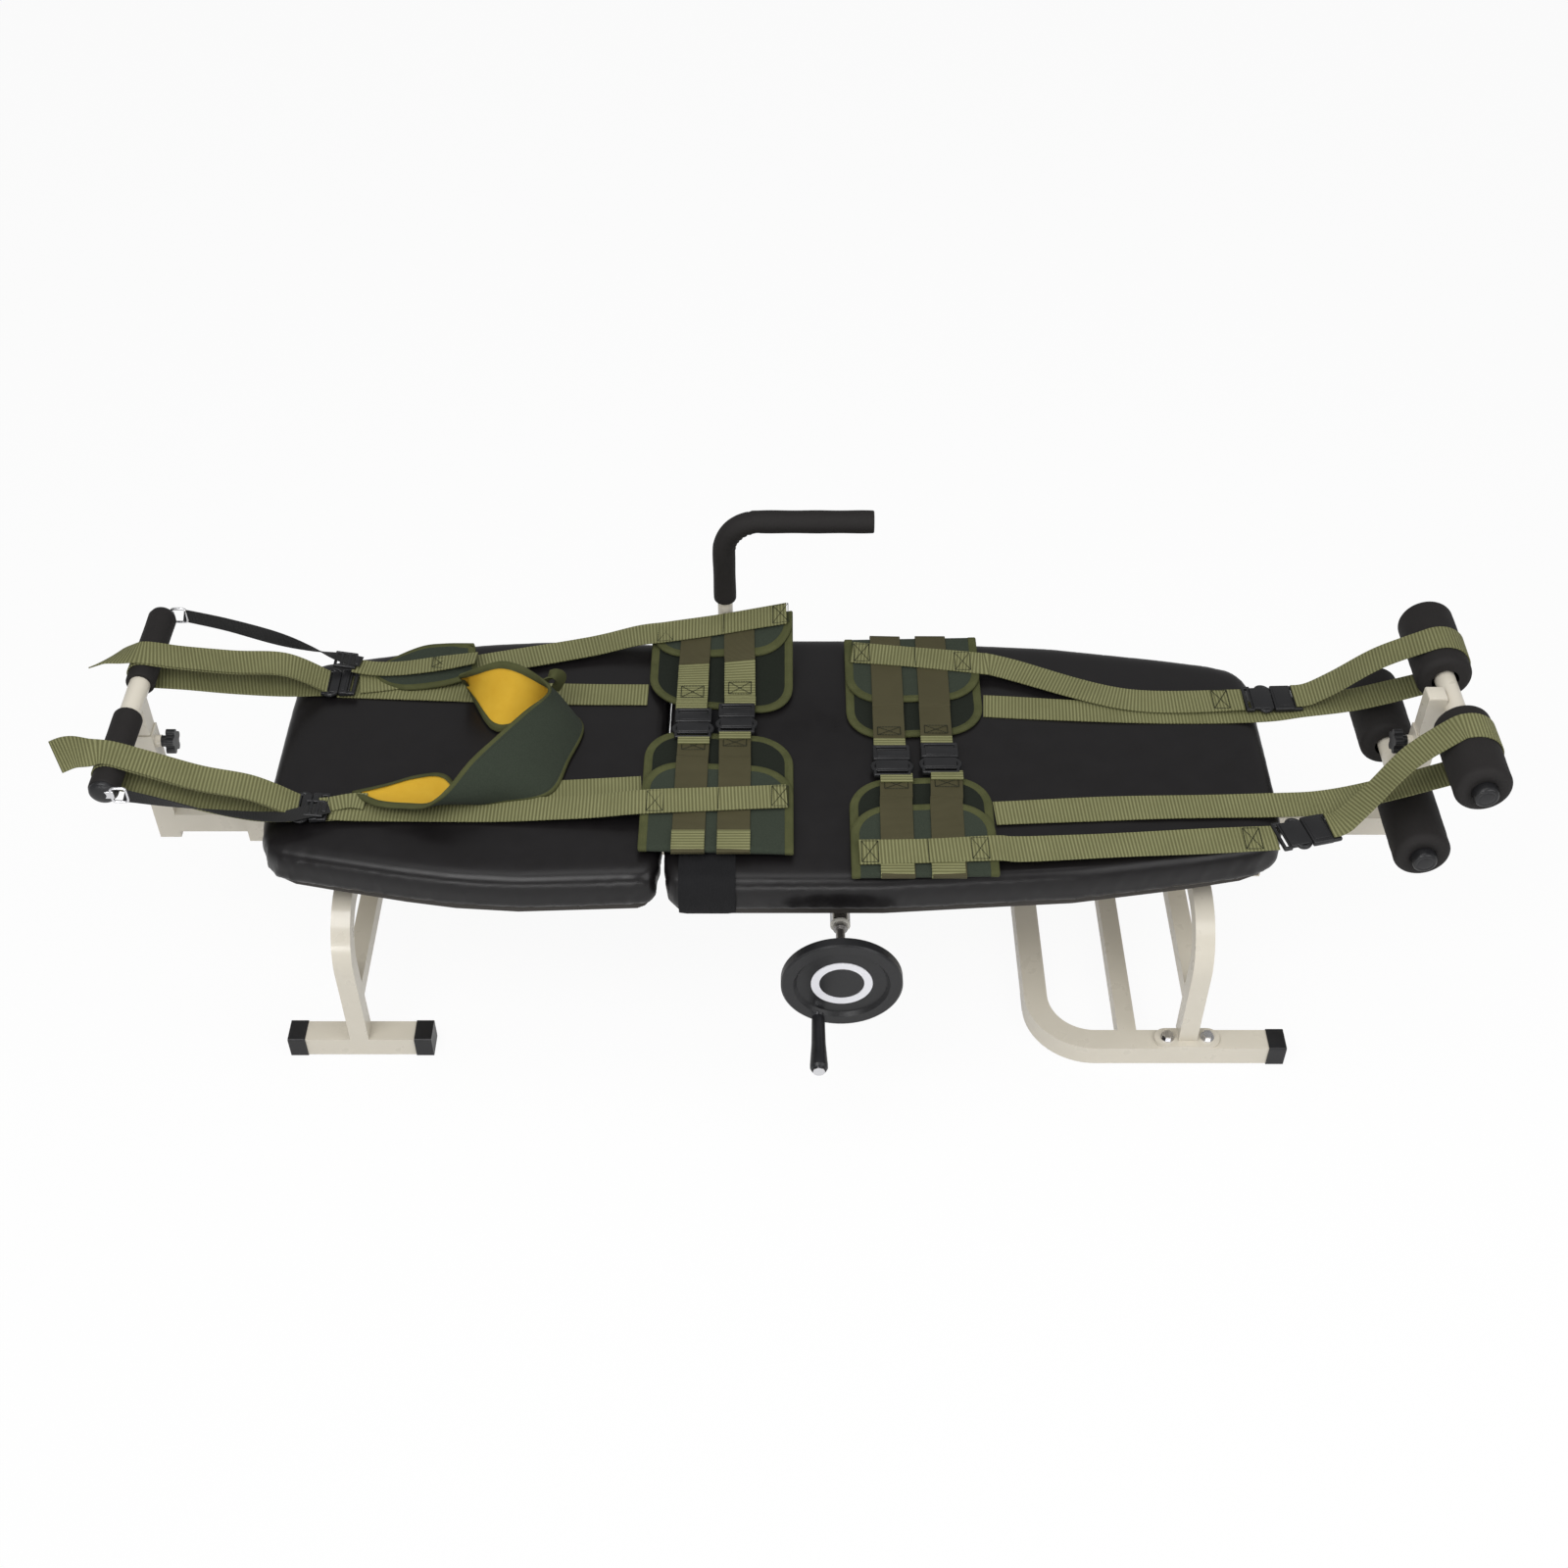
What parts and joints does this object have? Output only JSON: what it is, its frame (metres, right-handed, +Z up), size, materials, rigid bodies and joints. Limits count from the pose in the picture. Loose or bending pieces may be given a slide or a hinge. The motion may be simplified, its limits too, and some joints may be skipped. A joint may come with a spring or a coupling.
{
  "type": "traction table",
  "caption": "Padded traction bed on a steel frame with a handwheel-driven foot section, leg rollers, a head bar and a webbing harness.",
  "frame": {"origin": "on the floor under the middle of the bed's bounding box", "axes": "+X towards the foot end, +Y to the far side opposite the handwheel, +Z up"},
  "size_m": [2.1592, 0.7858, 0.6605],
  "materials": {
    "cream_paint": "powder coat, satin",
    "chrome_steel": "bright plated",
    "plain_steel": "turned steel",
    "black_plastic": "moulded, fine grain",
    "nylon": "natural nylon",
    "black_foam": "closed-cell foam",
    "leatherette": "stretched vinyl, soft sheen",
    "plywood": "black-stained plywood",
    "green_felt": "needled felt with bound edge",
    "olive_webbing": "ribbed polyester webbing",
    "dark_webbing": "ribbed polyester webbing",
    "black_webbing": "flat woven tape",
    "elastic": "knitted elastic",
    "white_plastic": "gloss"
  },
  "bodies": {
    "base_frame": {"spine_rails": "cream_paint", "head_legs": "cream_paint", "head_floor_bars": "cream_paint", "leg_braces": "cream_paint", "foot_base": "cream_paint", "foot_legs": "cream_paint", "hex_bolts": "chrome_steel", "floor_caps": "black_plastic", "head_rail_sleeve": "cream_paint", "head_rail": "cream_paint", "rail_inserts": "nylon", "head_post_socket": "cream_paint", "head_supports": "cream_paint", "head_board": "plywood", "head_cushion": "leatherette", "shaft_housing": "chrome_steel", "shaft_bushes": "nylon", "handle_bracket": "cream_paint", "chest_pad_far": "green_felt", "chest_pad_near": "green_felt", "chest_belts": "dark_webbing", "chest_buckles": "black_plastic", "chest_strap_far": "olive_webbing", "chest_strap_near": "olive_webbing", "strap_adjusters": "black_plastic", "halter": "green_felt", "halter_straps": "black_webbing"},
    "head_bar_slider": {"head_bar": "cream_paint", "head_bar_foams": "black_foam", "head_bar_hooks": "chrome_steel"},
    "head_knob": {"head_lock_knob": "black_plastic"},
    "carriage": {"slide_shoes": "nylon", "carriage_beams": "cream_paint", "foot_board": "plywood", "foot_cushion": "leatherette", "drive_rack": "plain_steel", "foot_rail": "cream_paint", "foot_post_socket": "cream_paint", "lower_roller_bar": "cream_paint", "elastic_belt": "elastic", "pelvic_pad_far": "green_felt", "pelvic_pad_near": "green_felt", "pelvic_belts": "dark_webbing", "pelvic_buckles": "black_plastic", "pelvic_strap_far": "olive_webbing", "pelvic_strap_near": "olive_webbing"},
    "roller_slider": {"upper_roller_bar": "cream_paint"},
    "foot_knob": {"foot_lock_knob": "black_plastic"},
    "roller_upper_near": {"upper_roller_near": "black_foam"},
    "roller_upper_far": {"upper_roller_far": "black_foam"},
    "roller_lower_near": {"lower_roller_near": "black_foam"},
    "roller_lower_far": {"lower_roller_far": "black_foam"},
    "drive": {"drive_shaft": "plain_steel", "drive_pinion": "plain_steel", "handwheel": "black_plastic", "handwheel_ring": "white_plastic", "crank_bolt": "chrome_steel"},
    "crank_hand_grip": {"crank_grip": "black_plastic"},
    "grab_bar": {"grab_handle": "cream_paint", "grab_handle_foam": "black_foam"}
  },
  "joints": [
    {"name": "handwheel_turn", "type": "hinge", "parent": "base_frame", "child": "drive", "pos_m": [0.0913, -0.1316, 0.273], "axis": [0, 1, 0], "range_deg": [0, 491.2]},
    {"name": "carriage_slide", "type": "slide", "parent": "base_frame", "child": "carriage", "axis": [1, 0, 0], "range_m": [0, 0.15]},
    {"name": "crank_grip_spin", "type": "hinge", "parent": "drive", "child": "crank_hand_grip", "pos_m": [0.0565, -0.3316, 0.20319], "axis": [0, 1, 0], "continuous": true},
    {"name": "head_bar_height", "type": "slide", "parent": "base_frame", "child": "head_bar_slider", "axis": [0, 0, 1], "range_m": [0, 0.12], "deforming": ["chest_strap_far", "chest_strap_near", "halter_straps"]},
    {"name": "head_knob_turn", "type": "hinge", "parent": "base_frame", "child": "head_knob", "pos_m": [-0.95569, 0.0684, 0.446], "axis": [1, 0, 0], "range_deg": [-720, 0]},
    {"name": "upper_roller_height", "type": "slide", "parent": "carriage", "child": "roller_slider", "axis": [0, 0, 1], "range_m": [0, 0.12], "deforming": ["pelvic_strap_far", "pelvic_strap_near"]},
    {"name": "foot_knob_turn", "type": "hinge", "parent": "carriage", "child": "foot_knob", "pos_m": [0.9693, 0.0684, 0.446], "axis": [-1, 0, 0], "range_deg": [-720, 0]},
    {"name": "grab_handle_swivel", "type": "hinge", "parent": "base_frame", "child": "grab_bar", "pos_m": [-0.0937, 0.3744, 0.3], "axis": [0, 0, 1], "range_deg": [0, 180]},
    {"name": "roller_upper_near_spin", "type": "hinge", "parent": "roller_slider", "child": "roller_upper_near", "pos_m": [1.03391, -0.0516, 0.529], "axis": [0, 1, 0], "continuous": true},
    {"name": "roller_upper_far_spin", "type": "hinge", "parent": "roller_slider", "child": "roller_upper_far", "pos_m": [1.03391, 0.1884, 0.529], "axis": [0, 1, 0], "continuous": true},
    {"name": "roller_lower_near_spin", "type": "hinge", "parent": "carriage", "child": "roller_lower_near", "pos_m": [0.9743, -0.0516, 0.39], "axis": [0, 1, 0], "continuous": true},
    {"name": "roller_lower_far_spin", "type": "hinge", "parent": "carriage", "child": "roller_lower_far", "pos_m": [0.9743, 0.1884, 0.39], "axis": [0, 1, 0], "continuous": true}
  ],
  "couplings": [
    {"joint": "handwheel_turn", "follows": "carriage_slide", "rad_per_m": 57.143}
  ]
}
